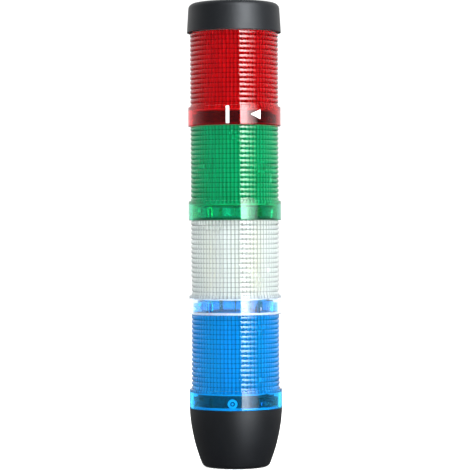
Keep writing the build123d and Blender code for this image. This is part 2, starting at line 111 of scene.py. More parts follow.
# The finish of a lens's rows, and the material slot between two rows: any other pair is smooth
PLAIN, RIBBED, FLUTED, FROSTED = range(4)
SMOOTH_SLOT, RIBBED_SLOT, FLUTED_SLOT = range(3)
LENS_SLOTS = {
    (RIBBED, RIBBED): RIBBED_SLOT,
    (FLUTED, FLUTED): FLUTED_SLOT,
    (FLUTED, PLAIN): FLUTED_SLOT,
    (FROSTED, FLUTED): FLUTED_SLOT,
    (FROSTED, FROSTED): FLUTED_SLOT,
}

# Printed marks, by their angle round from the front and their height above the foot of a tier
FRONT_ANGLE = -90.0
PRINT_FILM = 0.03 * MM
PRINT_POINT = 0.02 * MM
LINE_ANGLE = FRONT_ANGLE - 8.3
LINE_HALF_WIDTH = 0.68 * MM
LINE_LOW = 0.65 * MM
LINE_HIGH = COLLAR_HEIGHT - 0.45 * MM
ARROW_TIP_ANGLE = FRONT_ANGLE + 20.3
ARROW_BACK_ANGLE = FRONT_ANGLE + 33.5
ARROW_MIDDLE = 4.45 * MM
ARROW_HALF_HEIGHT = 2.05 * MM
ARROW_STEPS = 8
RING_ANGLE = FRONT_ANGLE - 4.9
RING_HEIGHT = 2.75 * MM
RING_INNER = 1.0 * MM
RING_OUTER = 2.05 * MM
RING_SEGMENTS = 40
DOT_RADIUS = 0.5 * MM
DOT_SEGMENTS = 20

# The softbox in metres, and the parts of its width and height over which it fades
SOFTBOX_WIDTH = 0.86
SOFTBOX_HEIGHT = 1.6
SOFTBOX_BELOW_FLOOR = 0.3
SOFTBOX_DISTANCE = 1.0
SOFTBOX_BRIGHT_END = 0.30
SOFTBOX_SHOULDER = 0.48
SOFTBOX_SHOULDER_SHARE = 0.48
SOFTBOX_FOOT_FADE = (0.12, 0.38)

# The floor, and the directions over which the mirrored surround changes
FLOOR_RADIUS = 4.0
FLOOR_DROP = 0.05 * MM
FLOOR_SEGMENTS = 96
FLOOR_GREY = 0.93
FLOOR_GLOW = 0.6
FRONT_TO_BACK = (-0.4, 0.7)
BELOW_TO_LEVEL = (-0.12, 0.0)


# Settings


class StackLightLensSettings(bpy.types.PropertyGroup):
    """Sizes and colours of the four moulded lenses."""

    rib_count: bpy.props.IntProperty(
        name="Ribs", description="Ribs round the outside of each lens", default=16, min=2, max=40
    )
    rib_depth: bpy.props.FloatProperty(
        name="Rib depth",
        description="How deep the grooves between the ribs are",
        default=0.7 * MM,
        min=0.0,
        unit="LENGTH",
    )
    rib_step: bpy.props.FloatProperty(
        name="Rib step",
        description="How far the rib crests lie inside the collar",
        default=0.95 * MM,
        unit="LENGTH",
    )
    rib_points: bpy.props.IntProperty(
        name="Rib points", description="Points across one rib", default=12, min=4, max=20
    )
    rib_squareness: bpy.props.FloatProperty(
        name="Rib squareness",
        description="How broad the crests are: 2 is round, higher is flatter with narrower grooves",
        default=4.0,
        min=2.0,
        max=8.0,
    )
    flute_count: bpy.props.IntProperty(
        name="Flutes", description="Upright flutes inside each lens", default=68, min=8, max=96
    )
    flute_depth: bpy.props.FloatProperty(
        name="Flute depth",
        description="How far the flutes stand in from the wall",
        default=0.45 * MM,
        min=0.0,
        unit="LENGTH",
    )
    blue: bpy.props.FloatVectorProperty(
        name="Blue lens",
        description="Colour of the blue plastic",
        default=(0.032, 0.55, 0.99),
        subtype="COLOR",
    )
    clear: bpy.props.FloatVectorProperty(
        name="Clear lens",
        description="Colour of the colourless plastic",
        default=(0.92, 0.985, 0.975),
        subtype="COLOR",
    )
    clear_collar: bpy.props.FloatVectorProperty(
        name="Clear collar",
        description="Colour of the clear lens where it is thick and smooth",
        default=(0.76, 0.85, 0.96),
        subtype="COLOR",
    )
    green: bpy.props.FloatVectorProperty(
        name="Green lens",
        description="Colour of the green plastic",
        default=(0.030, 0.61, 0.335),
        subtype="COLOR",
    )
    red: bpy.props.FloatVectorProperty(
        name="Red lens",
        description="Colour of the red plastic",
        default=(0.72, 0.026, 0.040),
        subtype="COLOR",
    )
    roughness: bpy.props.FloatProperty(
        name="Lens roughness",
        description="Roughness of the moulded surface",
        default=0.04,
        min=0.0,
        max=1.0,
    )
    refraction: bpy.props.FloatProperty(
        name="Refraction", description="Index of refraction of the plastic", default=1.52, min=1.0
    )
    # Painted shade: the plastic's colour is darkened towards the bottom of each groove, in place of the
    # dark lines that the ribs' refraction makes
    painted_groove_shade: bpy.props.FloatProperty(
        name="Groove shade",
        description="Brightness of the plastic at the bottom of the grooves between the ribs",
        default=0.12,
        min=0.0,
        max=1.0,
    )
    # Painted shade: the plastic's colour is darkened towards the root of each flute, in place of the dark
    # lines between the columns
    painted_flute_shade: bpy.props.FloatProperty(
        name="Flute shade",
        description="Brightness of the plastic at the bottom of the flutes",
        default=0.45,
        min=0.0,
        max=1.0,
    )
    flute_roughness: bpy.props.FloatProperty(
        name="Flute roughness",
        description="Roughness of the diffusing flutes inside",
        default=0.25,
        min=0.0,
        max=1.0,
    )
    flute_clearness: bpy.props.FloatProperty(
        name="Flute clearness",
        description="How much of the light goes through the flutes: the rest is scattered back",
        default=0.5,
        min=0.0,
        max=1.0,
    )


class StackLightFinishSettings(bpy.types.PropertyGroup):
    """Colours of the housings and the inner pieces."""

    black_plastic: bpy.props.FloatVectorProperty(
        name="Black plastic",
        description="Colour of the cap and the base",
        default=(0.0026, 0.0032, 0.0046),
        subtype="COLOR",
    )
    black_roughness: bpy.props.FloatProperty(
        name="Black roughness",
        description="Roughness of the cap and the base",
        default=0.48,
        min=0.0,
        max=1.0,
    )
    white_plastic: bpy.props.FloatVectorProperty(
        name="White plastic",
        description="Colour of the carriers",
        default=(0.86, 0.87, 0.85),
        subtype="COLOR",
    )
    grey_plastic: bpy.props.FloatVectorProperty(
        name="Grey plastic",
        description="Colour of the terminal block",
        default=(0.25, 0.26, 0.27),
        subtype="COLOR",
    )
    board: bpy.props.FloatVectorProperty(
        name="Boards",
        description="Colour of the circuit boards' solder mask",
        default=(0.80, 0.82, 0.78),
        subtype="COLOR",
    )
    phosphor: bpy.props.FloatVectorProperty(
        name="Phosphor",
        description="Colour of the resin over each LED",
        default=(0.90, 0.72, 0.10),
        subtype="COLOR",
    )
    seal: bpy.props.FloatVectorProperty(
        name="Pale seals",
        description="Colour of the translucent seals in the blue and clear collars",
        default=(0.80, 0.83, 0.86),
        subtype="COLOR",
    )
    # Partly the rubber's own colour, partly painted shade: darkened so the gaps under the green and red
    # collars and the cap read as shadowed lines
    dark_seal: bpy.props.FloatVectorProperty(
        name="Dark seals",
        description="Colour of the seals in the green and red collars and the cap",
        default=(0.10, 0.10, 0.10),
        subtype="COLOR",
    )
    brass: bpy.props.FloatVectorProperty(
        name="Contacts",
        description="Colour of the contact metal",
        default=(0.80, 0.62, 0.30),
        subtype="COLOR",
    )
    steel: bpy.props.FloatVectorProperty(
        name="Screws",
        description="Colour of the plated screws",
        default=(0.62, 0.62, 0.64),
        subtype="COLOR",
    )
    print_white: bpy.props.FloatVectorProperty(
        name="Print",
        description="Colour of the printed marks",
        default=(0.92, 0.92, 0.94),
        subtype="COLOR",
    )


class StackLightStudioSettings(bpy.types.PropertyGroup):
    """The camera, the lights and the white floor."""

    camera_distance: bpy.props.FloatProperty(
        name="Camera distance",
        description="From the tower's axis to the camera",
        default=0.9,
        min=0.1,
        unit="LENGTH",
    )
    camera_height: bpy.props.FloatProperty(
        name="Camera height",
        description="Height of the level camera above the floor",
        default=99.8 * MM,
        unit="LENGTH",
    )
    camera_side: bpy.props.FloatProperty(
        name="Camera side",
        description="How far the camera stands to the right of the axis",
        default=0.0,
        unit="LENGTH",
    )
    camera_roll: bpy.props.FloatProperty(
        name="Camera roll",
        description="Lean of the camera about its own axis",
        default=radians(0.32),
        subtype="ANGLE",
    )
    focal_length: bpy.props.FloatProperty(
        name="Focal length", description="Lens of the camera in millimetres", default=159.6, min=10.0
    )
    softbox_power: bpy.props.FloatProperty(
        name="Softbox", description="Power of the upright softbox in watts", default=70.0, min=0.0
    )
    softbox_foot: bpy.props.FloatProperty(
        name="Softbox foot",
        description="Brightness of the softbox at its lower end",
        default=0.5,
        min=0.0,
        max=1.0,
    )
    softbox_turn: bpy.props.FloatProperty(
        name="Softbox turn",
        description="Angle from the camera round to the softbox, to the right",
        default=radians(37.7),
        subtype="ANGLE",
    )
    surround: bpy.props.FloatProperty(
        name="Surround", description="Brightness of the white studio", default=1.45, min=0.0
    )
    surround_lean: bpy.props.FloatProperty(
        name="Surround lean",
        description="How much brighter the studio is to the left than to the right",
        default=0.3,
        min=0.0,
        max=1.0,
    )
    mirrored_below: bpy.props.FloatProperty(
        name="Mirrored below",
        description="Share of the mirrored brightness that is left below the horizon",
        default=0.12,
        min=0.0,
        max=1.0,
    )
    mirrored_front: bpy.props.FloatProperty(
        name="Mirrored front",
        description="Brightness of the studio before the tower, as its gloss mirrors it",
        default=0.10,
        min=0.0,
    )
    mirrored_back: bpy.props.FloatProperty(
        name="Mirrored back",
        description="Brightness of the studio behind the tower, as its gloss mirrors it",
        default=1.0,
        min=0.0,
    )


# Helpers for the meshes


def polar(radius, angle_degrees, height):
    """A point at a radius and an angle about the tower's axis."""
    angle = radians(angle_degrees)
    return Vector((radius * cos(angle), radius * sin(angle), height))


def finish_mesh(name, builder):
    """Turn the built faces into an object, smooth except along its sharp edges."""
    bmesh.ops.recalc_face_normals(builder, faces=builder.faces)
    for face in builder.faces:
        face.smooth = True
    for edge in builder.edges:
        edge.smooth = edge.calc_face_angle(0.0) < SHARP_ANGLE
    mesh = bpy.data.meshes.new(name)
    builder.to_mesh(mesh)
    builder.free()
    piece = bpy.data.objects.new(name, mesh)
    bpy.context.scene.collection.objects.link(piece)
    return piece


# Materials


def new_material(name):
    """A material with its node tree, its shader and its object coordinates."""
    material = bpy.data.materials.new(name)
    material.use_nodes = True
    tree = material.node_tree
    shader = tree.nodes["Principled BSDF"]
    place = tree.nodes.new("ShaderNodeTexCoord")
    return material, tree, shader, place.outputs["Object"]


def add_noise(tree, place, scale, detail=3.0):
    """A noise texture in the object's own space, its scale in grains per metre."""
    noise = tree.nodes.new("ShaderNodeTexNoise")
    noise.inputs["Scale"].default_value = scale
    noise.inputs["Detail"].default_value = detail
    tree.links.new(place, noise.inputs["Vector"])
    return noise.outputs["Fac"]


def add_range(tree, value, low, high, start=0.0, end=1.0, smooth=False):
    """Spread a value from low at its start to high at its end."""
    spread = tree.nodes.new("ShaderNodeMapRange")
    if smooth:
        spread.interpolation_type = "SMOOTHSTEP"
    spread.inputs["From Min"].default_value = start
    spread.inputs["From Max"].default_value = end
    spread.inputs["To Min"].default_value = low
    spread.inputs["To Max"].default_value = high
    tree.links.new(value, spread.inputs["Value"])
    return spread.outputs["Result"]


def add_bump(tree, shader, height, strength, distance):
    """Raise the surface by a height texture."""
    bump = tree.nodes.new("ShaderNodeBump")
    bump.inputs["Strength"].default_value = strength
    bump.inputs["Distance"].default_value = distance
    tree.links.new(height, bump.inputs["Height"])
    tree.links.new(bump.outputs["Normal"], shader.inputs["Normal"])


def shaded(colour, share):
    """A colour made darker or lighter, with full cover."""
    return (*[min(1, channel * share) for channel in colour], 1)


def add_tint(tree, shader, factor, colour, change):
    """Vary a colour a little, darker and lighter, by a factor."""
    ramp = tree.nodes.new("ShaderNodeValToRGB")
    ramp.color_ramp.elements[0].color = shaded(colour, 1 - change)
    ramp.color_ramp.elements[1].color = shaded(colour, 1 + change)
    tree.links.new(factor, ramp.inputs["Fac"])
    tree.links.new(ramp.outputs["Color"], shader.inputs["Base Color"])


def add_radius(tree, place):
    """The distance of a point from the tower's axis."""
    parts = tree.nodes.new("ShaderNodeSeparateXYZ")
    tree.links.new(place, parts.inputs["Vector"])
    flat = tree.nodes.new("ShaderNodeCombineXYZ")
    tree.links.new(parts.outputs["X"], flat.inputs["X"])
    tree.links.new(parts.outputs["Y"], flat.inputs["Y"])
    length = tree.nodes.new("ShaderNodeVectorMath")
    length.operation = "LENGTH"
    tree.links.new(flat.outputs["Vector"], length.inputs[0])
    return length.outputs["Value"]


def lens_plastic(name, colour, settings, diffusing=False):
    """Moulded lens plastic with faint flow marks, clear or a little milky."""
    material, tree, shader, place = new_material(name)
    shader.inputs["IOR"].default_value = settings.refraction
    shader.inputs["Transmission Weight"].default_value = settings.flute_clearness if diffusing else 1.0
    roughness = settings.flute_roughness if diffusing else settings.roughness
    cloud = add_noise(tree, place, scale=90, detail=2.0)
    add_tint(tree, shader, cloud, colour, change=0.04)
    rough = add_range(tree, cloud, low=roughness * 0.7, high=roughness * 1.3)
    tree.links.new(rough, shader.inputs["Roughness"])
    flow = add_noise(tree, place, scale=260, detail=1.0)
    add_bump(tree, shader, flow, strength=0.05, distance=0.05 * MM)
    return material


def paint_radial_shade(material, dark_radius, light_radius, shade):
    """Paint shade into a lens's colour, darker towards one radius, where its grooves or flutes are deepest.
    """
    tree = material.node_tree
    shader = tree.nodes["Principled BSDF"]
    place = tree.nodes["Texture Coordinate"].outputs["Object"]
    # Painted shade: the colour darkens towards the given radius, in place of the dark lines that refraction
    # makes there
    brightness = add_range(tree, add_radius(tree, place), shade, 1.0, dark_radius, light_radius)
    painted_shade = tree.nodes.new("ShaderNodeVectorMath")
    painted_shade.operation = "SCALE"
    tree.links.new(shader.inputs["Base Color"].links[0].from_socket, painted_shade.inputs["Vector"])
    tree.links.new(brightness, painted_shade.inputs["Scale"])
    tree.links.new(painted_shade.outputs["Vector"], shader.inputs["Base Color"])


def textured_plastic(name, colour, roughness, gloss=(1, 1, 1)):
    """Opaque moulded plastic with a fine spark-eroded grain."""
    material, tree, shader, place = new_material(name)
    shader.inputs["Specular Tint"].default_value = (*gloss, 1)
    cloud = add_noise(tree, place, scale=140)
    add_tint(tree, shader, cloud, colour, change=0.12)
    rough = add_range(tree, cloud, low=roughness * 0.9, high=roughness * 1.12)
    tree.links.new(rough, shader.inputs["Roughness"])
    grain = add_noise(tree, place, scale=2600, detail=4.0)
    add_bump(tree, shader, grain, strength=0.25, distance=0.03 * MM)
    return material


def plated_metal(name, colour, roughness):
    """Stamped or turned metal with fine streaks."""
    material, tree, shader, place = new_material(name)
    shader.inputs["Metallic"].default_value = 1.0
    streaks = add_noise(tree, place, scale=900, detail=4.0)
    add_tint(tree, shader, streaks, colour, change=0.10)
    rough = add_range(tree, streaks, low=roughness * 0.7, high=roughness * 1.4)
    tree.links.new(rough, shader.inputs["Roughness"])
    return material


def seal_rubber(name, colour):
    """Milky silicone rubber."""
    material, tree, shader, place = new_material(name)
    shader.inputs["Subsurface Weight"].default_value = 0.3
    shader.inputs["Subsurface Scale"].default_value = 1.0 * MM
    cloud = add_noise(tree, place, scale=500)
    add_tint(tree, shader, cloud, colour, change=0.06)
    rough = add_range(tree, cloud, low=0.4, high=0.55)
    tree.links.new(rough, shader.inputs["Roughness"])
    return material


def circuit_board(name, colour):
    """White solder mask over faint copper tracks."""
    material, tree, shader, place = new_material(name)
    tracks = tree.nodes.new("ShaderNodeTexBrick")
    tracks.inputs["Scale"].default_value = 420
    tracks.inputs["Mortar Size"].default_value = 0.03
    tracks.inputs["Color1"].default_value = shaded(colour, 1)
    tracks.inputs["Color2"].default_value = shaded(colour, 0.95)
    tracks.inputs["Mortar"].default_value = shaded(colour, 0.78)
    turn = tree.nodes.new("ShaderNodeMapping")
    turn.inputs["Rotation"].default_value = (pi / 2, 0, 0)
    tree.links.new(place, turn.inputs["Vector"])
    tree.links.new(turn.outputs["Vector"], tracks.inputs["Vector"])
    tree.links.new(tracks.outputs["Color"], shader.inputs["Base Color"])
    add_bump(tree, shader, tracks.outputs["Fac"], strength=0.2, distance=0.03 * MM)
    rough = add_range(tree, add_noise(tree, place, scale=700), low=0.28, high=0.4)
    tree.links.new(rough, shader.inputs["Roughness"])
    return material


def cast_resin(name, colour):
    """The cloudy yellow resin over an LED chip."""
    material, tree, shader, place = new_material(name)
    shader.inputs["Coat Weight"].default_value = 0.6
    cloud = add_noise(tree, place, scale=1500, detail=2.0)
    add_tint(tree, shader, cloud, colour, change=0.08)
    rough = add_range(tree, cloud, low=0.2, high=0.32)
    tree.links.new(rough, shader.inputs["Roughness"])
    return material


def printed_ink(name, colour):
    """Flat printed ink with a slightly uneven film."""
    material, tree, shader, place = new_material(name)
    film = add_noise(tree, place, scale=1200)
    add_tint(tree, shader, film, colour, change=0.03)
    rough = add_range(tree, film, low=0.4, high=0.5)
    tree.links.new(rough, shader.inputs["Roughness"])
    return material


def give(piece, material):
    """Show a piece in one material."""
    if not piece.material_slots:
        piece.data.materials.append(material)
    for slot in piece.material_slots:
        slot.material = material


def dress_nodes(material, *names):
    """Give solids of the frame a material."""
    for name in names:
        give(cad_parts[name], material)


# The moulded lens


def lens_rows(settings, foot):
    """The lens's section as (radius, height, finish), from the collar's rim round to its bore."""
    top = foot + TIER_PITCH
    crest = COLLAR_RADIUS - settings.rib_step
    groove = crest - settings.rib_depth
    pitch = (TIER_PITCH - RIB_START) / (settings.rib_count - HIDDEN_RIB_SHARE)
    rim = foot + SEEN_GAP
    shoulder = foot + COLLAR_HEIGHT
    edge = EDGE_RADIUS
    soft = edge * (1 - sqrt(0.5))
    rows = [
        (COLLAR_BORE_RADIUS + edge / 2, rim, PLAIN),
        (COLLAR_RADIUS - edge, rim, PLAIN),
        (COLLAR_RADIUS - soft, rim + soft, PLAIN),
        (COLLAR_RADIUS, rim + edge, PLAIN),
        (COLLAR_RADIUS, rim + EDGE_SUPPORT, PLAIN),
        (COLLAR_RADIUS, shoulder - EDGE_SUPPORT, PLAIN),
        (COLLAR_RADIUS, shoulder - edge, PLAIN),
        (COLLAR_RADIUS - soft, shoulder - soft, PLAIN),
        (COLLAR_RADIUS - edge, shoulder, PLAIN),
    ]
    for rib in range(settings.rib_count):
        for point in range(settings.rib_points):
            across = (1 - cos(pi * point / settings.rib_points)) / 2
            bulge = 1 - abs(2 * across - 1) ** settings.rib_squareness
            height = foot + RIB_START + (rib - HIDDEN_RIB_SHARE + across) * pitch
            if shoulder - ROW_MARGIN < height < top - ROW_MARGIN:
                rows.append((groove + settings.rib_depth * bulge, max(height, shoulder), RIBBED))
    rows += [
        (groove, top, RIBBED),
        (SPIGOT_RADIUS, top, PLAIN),
        (SPIGOT_RADIUS, top + STOP_BOTTOM, PLAIN),
        (SPIGOT_RADIUS, top + LEDGE_BOTTOM, PLAIN),
        (SPIGOT_RADIUS, top + LEDGE_TOP, PLAIN),
        (SPIGOT_RADIUS, top + SPIGOT_HEIGHT - edge, PLAIN),
        (SPIGOT_RADIUS - edge, top + SPIGOT_HEIGHT, PLAIN),
        (SPIGOT_BORE_RADIUS, top + SPIGOT_HEIGHT, PLAIN),
        (SPIGOT_BORE_RADIUS, top, PLAIN),
        (DECK_HOLE_RADIUS, top, FROSTED),
        (DECK_HOLE_RADIUS, top - SEEN_DECK, FROSTED),
        (FLUTE_ROOT_RADIUS, top - SEEN_DECK, FLUTED),
        (FLUTE_ROOT_RADIUS, foot + SOCKET_DEPTH, FLUTED),
        (COLLAR_BORE_RADIUS, foot + SOCKET_DEPTH, PLAIN),
        (COLLAR_BORE_RADIUS, foot + LUG_TOP, PLAIN),
        (COLLAR_BORE_RADIUS, foot + LUG_BOTTOM, PLAIN),
        (COLLAR_BORE_RADIUS, rim + edge / 2, PLAIN),
    ]
    return rows


def columns_in(start, span, column_count):
    """The columns that a span of the bayonet covers, at each of its catches."""
    step = 360 / column_count
    found = []
    for catch in range(BAYONET_COUNT):
        angle = BAYONET_ANGLE + 360 * catch / BAYONET_COUNT + start
        covered = range(round(angle / step), round((angle + span) / step))
        found += [column % column_count for column in covered]
    return found


def raised_cells(rows, foot, column_count):
    """The wall cells that stand out as ledges and stops, or in as lugs, with their radius."""
    top = foot + TIER_PITCH
    band_at = {round(height / MM, 3): row for row, (radius, height, finish) in enumerate(rows)}
    stop_band = band_at[round((top + STOP_BOTTOM) / MM, 3)]
    ledge_band = band_at[round((top + LEDGE_BOTTOM) / MM, 3)]
    lug_band = band_at[round((foot + LUG_TOP) / MM, 3)]
    raised = {}
    for column in columns_in(0, LEDGE_SPAN, column_count):
        raised[ledge_band, column] = LEDGE_RADIUS
    for start in (-STOP_SPAN, ENTRY_STOP_START):
        for column in columns_in(start, STOP_SPAN, column_count):
            raised[ledge_band, column] = LEDGE_RADIUS
            raised[stop_band, column] = LEDGE_RADIUS
    for column in columns_in(LUG_START, LUG_SPAN, column_count):
        raised[lug_band, column] = LUG_RADIUS
    return raised


def build_lens(name, settings, foot):
    """One lens as a closed mesh: a section turned about the axis, with raised cells."""
    rows = lens_rows(settings, foot)
    column_count = settings.flute_count * STEPS_PER_FLUTE
    raised = raised_cells(rows, foot, column_count)
    heights = [height for radius, height, finish in rows]
    finishes = [finish for radius, height, finish in rows]
    angles = [360 * column / column_count for column in range(column_count)]
    across = [2 * step / STEPS_PER_FLUTE - 1 for step in range(STEPS_PER_FLUTE)]
    flute_rise = [settings.flute_depth * (1 - share**2) for share in across]
    builder = bmesh.new()
    grid = []
    for radius, height, finish in rows:
        ring = []
        for column, angle in enumerate(angles):
            rise = flute_rise[column % STEPS_PER_FLUTE] if finish == FLUTED else 0
            ring.append(builder.verts.new(polar(radius - rise, angle, height)))
        grid.append(ring)
    lifted = {}

    def lift(row, column, radius):
        if (row, column) not in lifted:
            place = polar(radius, angles[column], heights[row])
            lifted[row, column] = builder.verts.new(place)
        return lifted[row, column]

    for row in range(len(rows)):
        after = (row + 1) % len(rows)
        for column in range(column_count):
            beside = (column + 1) % column_count
            places = [(row, column), (row, beside), (after, beside), (after, column)]
            corners = [grid[at_row][at_column] for at_row, at_column in places]
            radius = raised.get((row, column))
            if radius is None:
                face = builder.faces.new(corners)
                face.material_index = LENS_SLOTS.get((finishes[row], finishes[after]), SMOOTH_SLOT)
                continue
            tops = [lift(at_row, at_column, radius) for at_row, at_column in places]
            builder.faces.new(tops)
            neighbours = [
                (row - 1, column),
                (row, beside),
                (row + 1, column),
                (row, (column - 1) % column_count),
            ]
            for side, neighbour in enumerate(neighbours):
                if neighbour not in raised:
                    ahead = (side + 1) % 4
                    builder.faces.new([corners[side], corners[ahead], tops[ahead], tops[side]])
    return finish_mesh(name, builder)


def lens_materials(tier, settings):
    """The plastics of a lens in the order of its slots: smooth, ribbed and fluted."""
    colour = getattr(settings, tier)
    smooth_colour = settings.clear_collar if tier == "clear" else colour
    smooth = lens_plastic(f"{tier} smooth lens", smooth_colour, settings)
    ribbed = lens_plastic(f"{tier} ribbed lens", colour, settings)
    # The ribbed and fluted plastics get painted shade, darker at the groove bottoms and at the flute roots
    groove = COLLAR_RADIUS - settings.rib_step - settings.rib_depth
    paint_radial_shade(ribbed, groove, groove + settings.rib_depth * PAINTED_SHADE_SHARE, settings.painted_groove_shade)
    fluted = lens_plastic(f"{tier} diffusing flutes", colour, settings, diffusing=True)
    crest = FLUTE_ROOT_RADIUS - settings.flute_depth * PAINTED_SHADE_SHARE
    paint_radial_shade(fluted, FLUTE_ROOT_RADIUS, crest, settings.painted_flute_shade)
    return smooth, ribbed, fluted


# Printed marks


def join_rings(builder, near, far):
    """Close the four walls between two rings of four corners."""
    for corner in range(4):
        ahead = (corner + 1) % 4
        builder.faces.new([near[corner], near[ahead], far[ahead], far[corner]])


def wrapped_columns(name, radius, thickness, columns):
    """A thin plate wrapped on a cylinder, from (angle, low, high) at each of its columns."""
    builder = bmesh.new()
    rings = []
    for angle, low, high in columns:
        rings.append([
            builder.verts.new(polar(radius, angle, low)),
            builder.verts.new(polar(radius + thickness, angle, low)),
            builder.verts.new(polar(radius + thickness, angle, high)),
            builder.verts.new(polar(radius, angle, high)),
        ])
    for near, far in zip(rings, rings[1:]):
        join_rings(builder, near, far)
    builder.faces.new(rings[0])
    builder.faces.new(rings[-1])
    return finish_mesh(name, builder)


def wrapped_ring(name, radius, thickness, angle, height, inner, outer, segments):
    """A thin ring mark wrapped on a cylinder about an angle and a height."""
    builder = bmesh.new()
    loops = []
    for segment in range(segments):
        turn = 2 * pi * segment / segments
        ring = []
        for size, depth in ((inner, 0), (outer, 0), (outer, thickness), (inner, thickness)):
            around = angle + degrees(size * cos(turn) / radius)
            ring.append(builder.verts.new(polar(radius + depth, around, height + size * sin(turn))))
        loops.append(ring)
    for near, far in zip(loops, loops[1:] + loops[:1]):
        join_rings(builder, near, far)
    return finish_mesh(name, builder)


def arrow_columns(foot):
    """The arrow head's (angle, low, high) from its tip to its back."""
    columns = []
    middle = foot + ARROW_MIDDLE
    for step in range(ARROW_STEPS + 1):
        share = step / ARROW_STEPS
        angle = ARROW_TIP_ANGLE + (ARROW_BACK_ANGLE - ARROW_TIP_ANGLE) * share
        half = max(ARROW_HALF_HEIGHT * share, PRINT_POINT)
        columns.append((angle, middle - half, middle + half))
    return columns


def place_piece(piece, body, material):
    """Show a piece in its material, riding on its body."""
    give(piece, material)
    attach(piece, body)


# The studio


def add_camera(scene, settings):
    """The level camera before the tower."""
    camera = bpy.data.objects.new("camera", bpy.data.cameras.new("camera"))
    camera.data.lens = settings.focal_length
    camera.data.sensor_width = 36.0
    camera.location = (settings.camera_side, -settings.camera_distance, settings.camera_height)
    camera.rotation_euler = (pi / 2, settings.camera_roll, 0)
    scene.collection.objects.link(camera)
    scene.camera = camera


def add_softbox(scene, settings):
    """One upright softbox to the right of the camera, bright at its inner side and fading outwards."""
    light = bpy.data.lights.new("softbox", "AREA")
    light.shape = "RECTANGLE"
    light.size = SOFTBOX_WIDTH
    light.size_y = SOFTBOX_HEIGHT
    light.energy = settings.softbox_power
    light.use_nodes = True
    tree = light.node_tree
    place = tree.nodes.new("ShaderNodeNewGeometry")
    parts = tree.nodes.new("ShaderNodeSeparateXYZ")
    tree.links.new(place.outputs["Parametric"], parts.inputs["Vector"])
    fade = tree.nodes.new("ShaderNodeValToRGB")
    fade.color_ramp.elements[0].position = SOFTBOX_BRIGHT_END
    fade.color_ramp.elements[0].color = (1, 1, 1, 1)
    fade.color_ramp.elements[1].position = 1.0
    fade.color_ramp.elements[1].color = (0, 0, 0, 1)
    shoulder = fade.color_ramp.elements.new(SOFTBOX_SHOULDER)
    shoulder.color = shaded((1, 1, 1), SOFTBOX_SHOULDER_SHARE)
    tree.links.new(parts.outputs["X"], fade.inputs["Fac"])
    tree.links.new(fade.outputs["Color"], tree.nodes["Emission"].inputs["Color"])
    foot = add_range(tree, parts.outputs["Y"], settings.softbox_foot, 1, *SOFTBOX_FOOT_FADE, smooth=True)
    tree.links.new(foot, tree.nodes["Emission"].inputs["Strength"])
    box = bpy.data.objects.new("softbox", light)
    turn = settings.softbox_turn
    aim = Vector((0, 0, light.size_y / 2 - SOFTBOX_BELOW_FLOOR))
    box.location = aim + SOFTBOX_DISTANCE * Vector((sin(turn), -cos(turn), 0))
    box.rotation_mode = "QUATERNION"
    box.rotation_quaternion = (aim - box.location).to_track_quat("-Z", "Y")
    scene.collection.objects.link(box)


def mirrored_rays(tree):
    """One for rays that gloss mirrors, nought for seen rays and for rays through the lenses."""
    ray = tree.nodes.new("ShaderNodeLightPath")
    only = tree.nodes.new("ShaderNodeMath")
    only.operation = "SUBTRACT"
    only.use_clamp = True
    tree.links.new(ray.outputs["Is Glossy Ray"], only.inputs[0])
    tree.links.new(ray.outputs["Is Transmission Ray"], only.inputs[1])
    return only.outputs["Value"]


def add_floor(scene):
    """A wide pale floor disc under the tower, which its gloss doesn't mirror."""
    builder = bmesh.new()
    bmesh.ops.create_circle(builder, cap_ends=True, radius=FLOOR_RADIUS, segments=FLOOR_SEGMENTS)
    mesh = bpy.data.meshes.new("floor")
    builder.to_mesh(mesh)
    builder.free()
    floor = bpy.data.objects.new("floor", mesh)
    floor.location.z = -FLOOR_DROP
    scene.collection.objects.link(floor)
    material, tree, shader, place = new_material("pale floor")
    cloud = add_noise(tree, place, scale=3, detail=2.0)
    add_tint(tree, shader, cloud, [FLOOR_GREY] * 3, change=0.01)
    shader.inputs["Roughness"].default_value = 0.8
    shader.inputs["Emission Color"].default_value = (1, 1, 1, 1)
    shader.inputs["Emission Strength"].default_value = FLOOR_GLOW
    unseen = tree.nodes.new("ShaderNodeBsdfTransparent")
    choose = tree.nodes.new("ShaderNodeMixShader")
    tree.links.new(mirrored_rays(tree), choose.inputs["Fac"])
    tree.links.new(shader.outputs["BSDF"], choose.inputs[1])
    tree.links.new(unseen.outputs["BSDF"], choose.inputs[2])
    tree.links.new(choose.outputs["Shader"], tree.nodes["Material Output"].inputs["Surface"])
    give(floor, material)


